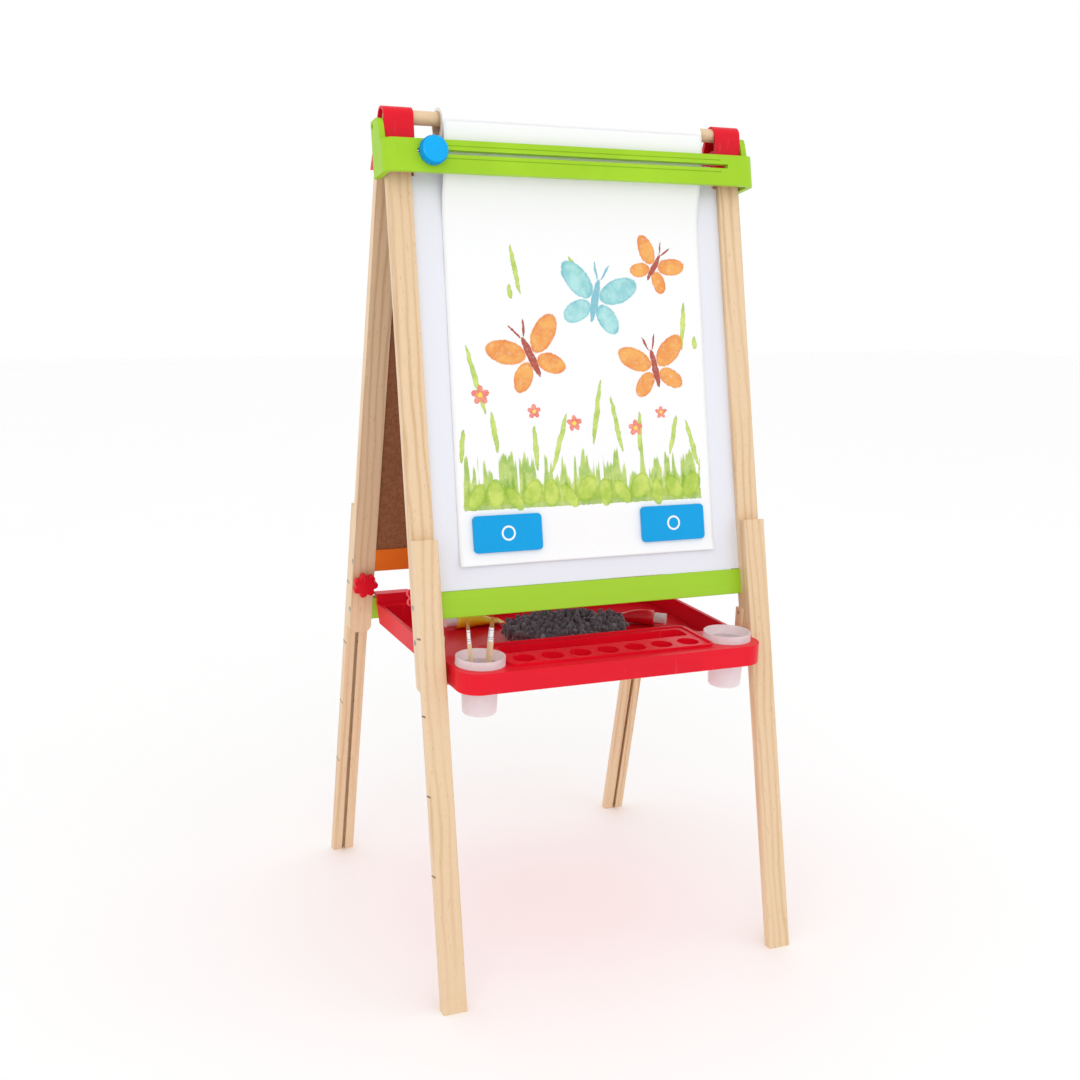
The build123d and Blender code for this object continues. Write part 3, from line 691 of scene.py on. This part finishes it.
class EASEL_OT_paper(bpy.types.Operator):
    """Finishes the roll and hangs the painted sheet from it"""

    bl_idname = "easel.paper"
    bl_label = "Paper"

    def execute(self, context):
        colours, sizes = context.scene.easel_colours, context.scene.easel_sizes
        paint(["paper_core"], card("kraft_core", colours.kraft))
        paint(["paper_roll"], plain_paper("roll_paper", colours.paper, edge_on=True))
        knots = [(-19, 13.95), (-10, 14.0), (0, 13.75), (16, 11.95), (32, 7.85), (52, 0.9), (66, -3.0)]
        knots += [(80, -4.9), (98, -5.72), (130, -5.75), (300, -5.75), (440, -5.75), (464, -5.6), (476, -3.6)]
        line = smooth_line([(s / 1000, off / 1000) for s, off in knots], LINE_POINTS)
        width, columns = sizes.sheet_width, SHEET_COLUMNS
        travelled, corners, faces, page = 0.0, [], [], []
        total = sum(hypot(q[0] - p[0], q[1] - p[1]) for p, q in zip(line, line[1:]))
        for row, (s, off) in enumerate(line):
            if row:
                travelled += hypot(s - line[row - 1][0], off - line[row - 1][1])
            for column in range(columns + 1):
                across = column / columns
                skew = 0.0055 * (1 - s / SHEET_END) - 0.002
                lift = 0.00018 * sin(9 * across + 30 * s) + sheet_curl(across, s)
                corners.append(on_front((across - 0.5) * width + skew, s, off + lift))
                page.append((across * width * PAGE_SCALE, (total - travelled) * PAGE_SCALE))
        for row in range(len(line) - 1):
            for column in range(columns):
                first = row * (columns + 1) + column
                faces.append((first, first + columns + 1, first + columns + 2, first + 1))
        mesh = mesh_from("painted_sheet", corners, faces, painted_page("painted_page", colours.paper))
        layer = mesh.uv_layers.new(name="page")
        for loop in mesh.loops:
            layer.data[loop.index].uv = page[loop.vertex_index]
        sheet = piece("painted_sheet", mesh, "front_frame", "paper_sheet", "paper_sheet")
        thick = sheet.modifiers.new("thickness", "SOLIDIFY")
        thick.thickness = sizes.sheet_thick
        thick.offset = 0.0
        return {"FINISHED"}


def smooth_line(knots, count):
    """Evenly taken points on a smooth curve through the knots."""
    curve = bpy.data.curves.new("line", "CURVE")
    spline = curve.splines.new("NURBS")
    spline.points.add(len(knots) - 1)
    for point, (s, off) in zip(spline.points, knots):
        point.co = (s, off, 0, 1)
    spline.order_u, spline.use_endpoint_u = 3, True
    spline.resolution_u = max(2, count // len(knots))
    host = bpy.data.objects.new("line", curve)
    mesh = bpy.data.meshes.new_from_object(host)
    points = [(vertex.co.x, vertex.co.y) for vertex in mesh.vertices]
    bpy.data.objects.remove(host)
    bpy.data.meshes.remove(mesh)
    return points


def sheet_curl(across, s):
    """Forward lift of the sheet's lower corners and a dent near its upper left edge."""
    low = max(0.0, (s - 0.466) / 0.010)
    edge = max(0.0, abs(across - 0.5) - 0.36) / 0.14
    dent = 0.0012 * max(0.0, 1 - hypot((across - 0.02) / 0.05, (s - 0.13) / 0.02))
    return 0.0016 * low * edge + dent


class EASEL_OT_brushes(bpy.types.Operator):
    """Grows the brush tips hair by hair"""

    bl_idname = "easel.brushes"
    bl_label = "Brush hair"

    def execute(self, context):
        colours, sizes = context.scene.easel_colours, context.scene.easel_sizes
        tree = bristle_tree()
        hair = bristle("brush_hair", colours.hair)
        for seed, (brush, (foot, tip, radius)) in enumerate(BRUSHES.items()):
            carrier = bpy.data.meshes.new("seat")
            inputs = {"Radius": radius, "Length": HAIR_LENGTH, "Hairs": sizes.hairs}
            inputs.update({"Seed": seed + 3, "Material": hair})
            tuft = grown(f"{brush}_tuft", tree, inputs, carrier)
            run = (tip - foot).normalized()
            turn = Vector((0, 0, 1)).rotation_difference(run).to_matrix().to_4x4()
            tuft.transform(Matrix.Translation(tip - run * HAIR_LENGTH) @ turn)
            tuft.shade_smooth()
            body = "brush_a" if brush == "brush_thin" else "brush_b"
            piece(f"{brush}_tuft", tuft, body, f"{brush}_bristles", f"{brush}_bristles")
        return {"FINISHED"}


def bristle_tree():
    """Hairs on a disc that lean in to one soft point."""
    sockets = (("Radius", "Float"), ("Length", "Float"), ("Hairs", "Int"))
    sockets += (("Seed", "Int"), ("Material", "Material"))
    web, given = growth_tree("bristle_tuft", sockets)
    points = web.node("GeometryNodePoints", None, {"Count": given["Hairs"], "Radius": 0.0001})
    index = web.node("GeometryNodeInputIndex")
    angle = index * GOLDEN_ANGLE
    share = ((index + 0.5) / given["Hairs"]).power(0.5)
    bend = web.node("FunctionNodeRandomValue", {"data_type": "FLOAT"}, {2: 0.72, 3: 1.0, 8: given["Seed"]}, 1)
    reach = share * given["Radius"]
    across, along = angle._math("COSINE", angle) * reach, angle.sine() * reach
    seat = web.node("ShaderNodeCombineXYZ", None, (across, along, 0.0))
    set_out = web.node("GeometryNodeSetPosition", None, {"Geometry": points, "Position": seat})
    cone = {"Vertices": 5, "Radius Bottom": 0.00022, "Radius Top": 0.00005, "Depth": given["Length"]}
    hair = web.node("GeometryNodeMeshCone", None, cone)
    aim = web.node("ShaderNodeCombineXYZ", None, (across * -0.85, along * -0.85, given["Length"]))
    turn = web.node("FunctionNodeAlignRotationToVector", {"axis": "Z"}, {"Vector": aim})
    stretch = web.node("ShaderNodeCombineXYZ", None, (1.0, 1.0, bend * (1 - share * 0.25)))
    fed = {"Points": set_out, "Instance": hair, "Rotation": turn, "Scale": stretch}
    hairs = web.node("GeometryNodeInstanceOnPoints", None, fed)
    return end_tree(web, hairs, given["Material"])


class EASEL_OT_tubes(bpy.types.Operator):
    """Models the two squeezed paint tubes"""

    bl_idname = "easel.tubes"
    bl_label = "Paint tubes"

    def execute(self, context):
        colours = context.scene.easel_colours
        finishes = {
            "tube_yellow": soft_tube("yellow_vinyl", colours.yellow),
            "tube_red": soft_tube("red_vinyl", colours.red),
        }
        for (name, (start, heading)), body in zip(TUBES.items(), ("tube_a", "tube_b")):
            mesh = tube_mesh(f"{name}_skin", start, heading, finishes[name])
            piece(f"{name}_skin", mesh, body, name, name)
        return {"FINISHED"}


def tube_mesh(name, start, heading, material):
    """Rings from the neck to the flat tail, whose end is folded over in fine pleats."""
    stations = [
        (11.6, 3.0, 3.0), (11.6, 4.0, 4.0), (14.8, 4.0, 4.0), (15.2, 7.5, 7.5), (15.8, 9.0, 9.0),
        (17.2, 9.7, 9.7), (24.0, 9.9, 9.9), (34.0, 10.2, 9.5), (44.0, 10.8, 8.1), (54.0, 11.5, 6.0),
        (63.0, 12.2, 3.7), (70.0, 12.7, 1.7), (71.0, 12.9, 1.15), (72.2, 12.9, 0.85), (73.4, 12.9, 1.1),
        (74.6, 12.9, 0.85), (75.8, 12.9, 1.1), (77.0, 12.9, 0.85), (77.8, 12.9, 0.9), (77.9, 12.6, 0.4),
    ]
    turn = radians(heading)
    along, side = Vector((cos(turn), sin(turn), 0)), Vector((-sin(turn), cos(turn), 0))
    around, corners, faces = TUBE_ROUND, [], []
    for distance, wide, high in stations:
        sag = Vector((0, 0, (high - 10.0) * 0.0006))
        for step in range(around):
            angle = 2 * pi * step / around
            spot = start + (along * distance + side * wide * cos(angle)) / 1000 + sag
            spot.z += high * sin(angle) / 1000
            dent = noise.noise(spot * 90) * 0.0005 * (1 if 24 < distance < 70 else 0)
            corners.append(spot + Vector((0, 0, dent)))
    for ring in range(len(stations) - 1):
        for step in range(around):
            after = (step + 1) % around
            low, high = ring * around, (ring + 1) * around
            faces.append((low + step, low + after, high + after, high + step))
    faces.append(tuple(range(around))[::-1])
    faces.append(tuple((len(stations) - 1) * around + step for step in range(around)))
    mesh = mesh_from(name, corners, faces, material)
    shell = bmesh.new()
    shell.from_mesh(mesh)
    bmesh.ops.recalc_face_normals(shell, faces=shell.faces)
    shell.to_mesh(mesh)
    shell.free()
    return mesh


class EASEL_OT_mitt(bpy.types.Operator):
    """Grows the chenille mitt loop by loop over a slumped heap"""

    bl_idname = "easel.mitt"
    bl_label = "Chenille mitt"

    def execute(self, context):
        colours, sizes = context.scene.easel_colours, context.scene.easel_sizes
        pile = chenille("chenille_pile", colours.chenille, colours.chenille_highlight)
        inputs = {
            "Half length": sizes.loop_long,
            "Radius": sizes.loop_thick,
            "Spacing": sizes.loop_gap,
            "Seed": 11,
            "Material": pile,
        }
        mesh = grown("mitt_pile", chenille_tree(), inputs, heap_mesh(pile))
        mesh.shade_smooth()
        mitt = piece("mitt_pile", mesh, "mitt", "chenille_mitt", "chenille_mitt")
        return {"FINISHED"}


def heap_mesh(material):
    """The mitt's slumped body, lower and looser at its cuff end."""
    low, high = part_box("chenille_mitt")
    centre = (Vector(low) + Vector(high)) / 2
    half = (Vector(high) - Vector(low)) / 2
    shell = bmesh.new()
    bmesh.ops.create_icosphere(shell, subdivisions=4, radius=1.0)
    for vertex in shell.verts:
        x, y, z = vertex.co
        lump = 1 + 0.10 * noise.noise(vertex.co * 2.1 + Vector((3, 1, 7)))
        slope = 1 - 0.28 * max(0.0, x)
        spot = Vector((x * (half.x - 0.006) * lump, y * (half.y - 0.006) * lump, 0))
        spot.z = max(-half.z + 0.003, (z * slope) * (half.z - 0.009) * lump - 0.005)
        vertex.co = centre + spot
    mesh = bpy.data.meshes.new("heap")
    shell.to_mesh(mesh)
    shell.free()
    mesh.materials.append(material)
    return mesh


def chenille_tree():
    """Fat short loops standing off a surface, each leaning its own way."""
    sockets = (("Half length", "Float"), ("Radius", "Float"), ("Spacing", "Float"))
    sockets += (("Seed", "Int"), ("Material", "Material"))
    web, given = growth_tree("chenille_loops", sockets)
    fed = {"Mesh": given["Geometry"], "Distance Min": given["Spacing"], "Seed": given["Seed"]}
    fed["Density Max"] = 60000.0
    spread = web.node("GeometryNodeDistributePointsOnFaces", {"distribute_method": "POISSON"}, fed)
    outputs = spread.socket.node.outputs
    normal = Wire(web, outputs["Normal"])
    ball = web.node("GeometryNodeMeshUVSphere", None, {"Segments": 8, "Rings": 7, "Radius": 1.0})
    x, y, z = separated(web, web.node("GeometryNodeInputPosition"))
    blunt = z.size().power(0.5) * z._math("SIGN", z)
    capsule = web.node("ShaderNodeCombineXYZ", None, (x, y, blunt))
    rounded = web.node("GeometryNodeSetPosition", None, {"Geometry": ball, "Position": capsule})
    shape = web.node("ShaderNodeCombineXYZ", None, (given["Radius"], given["Radius"], given["Half length"]))
    loop = web.node("GeometryNodeTransform", None, {"Geometry": rounded, "Scale": shape})
    jitter = web.node(
        "FunctionNodeRandomValue",
        {"data_type": "FLOAT_VECTOR"},
        {0: (-0.9, -0.9, -0.35), 1: (0.9, 0.9, 0.6), 8: given["Seed"]},
    )
    lean = web.node("ShaderNodeVectorMath", {"operation": "ADD"}, (normal, jitter))
    turn = web.node("FunctionNodeAlignRotationToVector", {"axis": "Z"}, {"Vector": lean})
    size = web.node("FunctionNodeRandomValue", {"data_type": "FLOAT"}, {2: 0.75, 3: 1.1, 8: given["Seed"]}, 1)
    placed = {"Points": spread, "Instance": loop, "Rotation": turn, "Scale": size}
    loops = web.node("GeometryNodeInstanceOnPoints", None, placed)
    both = web.node("GeometryNodeJoinGeometry")
    web.tree.links.new(loops.socket, both.socket.node.inputs[0])
    web.tree.links.new(given["Geometry"].socket, both.socket.node.inputs[0])
    return end_tree(web, both, given["Material"])


class EASEL_OT_stage(bpy.types.Operator):
    """Sets the pale floor, the soft lights and the camera"""

    bl_idname = "easel.stage"
    bl_label = "Stage"

    def execute(self, context):
        stage = context.scene.easel_stage
        half = stage.floor / 2
        corners = [(-half, -half, 0), (half, -half, 0), (half, half, 0), (-half, half, 0)]
        made = Finish("studio_floor", Specular_IOR_Level=0.2)
        cloud = made.grain(made.place(), 3.0, 2.0)
        pale = made.blend(cloud, (0.985, 0.985, 0.985, 1), (0.995, 0.995, 0.995, 1))
        mesh = mesh_from("studio_floor", corners, [(0, 1, 2, 3)], made.feed(Base_Color=pale), smooth=False)
        floor = bpy.data.objects.new("studio_floor", mesh)
        context.scene.collection.objects.link(floor)
        world = bpy.data.worlds.new("surround")
        world.use_nodes = True
        world.node_tree.nodes["Background"].inputs["Color"].default_value = (1, 1, 1, 1)
        world.node_tree.nodes["Background"].inputs["Strength"].default_value = stage.sky
        context.scene.world = world
        for (name, (place, size)), power in zip(LIGHTS.items(), (stage.key, stage.fill)):
            softbox(name, place, power, size)
        context.scene.view_settings.view_transform = "Standard"
        context.scene.camera = aimed_camera()
        return {"FINISHED"}


def softbox(name, place, power, size):
    """Square area light aimed at the middle of the easel."""
    light = bpy.data.lights.new(name, "AREA")
    light.energy, light.size = power, size
    lamp = bpy.data.objects.new(name, light)
    bpy.context.scene.collection.objects.link(lamp)
    lamp.location = place
    aim = LIGHT_AIM - Vector(place)
    lamp.rotation_euler = aim.to_track_quat("-Z", "Y").to_euler()


def aimed_camera():
    """Camera a little left of the easel and just under its top, looking slightly down."""
    yaw, pitch, roll = radians(CAMERA_YAW), radians(CAMERA_PITCH), radians(CAMERA_ROLL)
    ahead = Vector((sin(yaw) * cos(pitch), cos(yaw) * cos(pitch), sin(pitch)))
    right = Vector((cos(yaw), -sin(yaw), 0))
    up = right.cross(ahead)
    level_right = right * cos(roll) + up * sin(roll)
    level_up = up * cos(roll) - right * sin(roll)
    lens = bpy.data.cameras.new("camera")
    lens.sensor_width, lens.lens = CAMERA_SENSOR, CAMERA_LENS
    camera = bpy.data.objects.new("camera", lens)
    bpy.context.scene.collection.objects.link(camera)
    turn = Matrix((level_right, level_up, -ahead)).transposed().to_4x4()
    camera.matrix_world = Matrix.Translation(CAMERA_PLACE) @ turn
    return camera


class EASEL_PT_panel(bpy.types.Panel):
    """Lists the easel's finishing steps and settings"""

    bl_label = "Easel"
    bl_idname = "EASEL_PT_panel"
    bl_space_type = "VIEW_3D"
    bl_region_type = "UI"
    bl_category = "Easel"

    def draw(self, context):
        for operator in OPERATORS:
            self.layout.operator(operator.bl_idname)
        for name, group in GROUPS.items():
            box = self.layout.box()
            for key in group.__annotations__:
                box.prop(getattr(context.scene, name), key)


GROUPS = {"easel_colours": EaselColours, "easel_sizes": EaselSizes, "easel_stage": EaselStage}
OPERATORS = (
    EASEL_OT_wood,
    EASEL_OT_mouldings,
    EASEL_OT_boards,
    EASEL_OT_hardware,
    EASEL_OT_paper,
    EASEL_OT_brushes,
    EASEL_OT_tubes,
    EASEL_OT_mitt,
    EASEL_OT_stage,
)


def register():
    for name, group in GROUPS.items():
        bpy.utils.register_class(group)
        setattr(bpy.types.Scene, name, bpy.props.PointerProperty(type=group))
    for made in (*OPERATORS, EASEL_PT_panel):
        bpy.utils.register_class(made)


def unregister():
    for made in (EASEL_PT_panel, *reversed(OPERATORS)):
        bpy.utils.unregister_class(made)
    for name, group in GROUPS.items():
        delattr(bpy.types.Scene, name)
        bpy.utils.unregister_class(group)


def main():
    register()
    for operator in OPERATORS:
        group, call = operator.bl_idname.split(".")
        getattr(getattr(bpy.ops, group), call)()


if __name__ == "__main__":
    main()
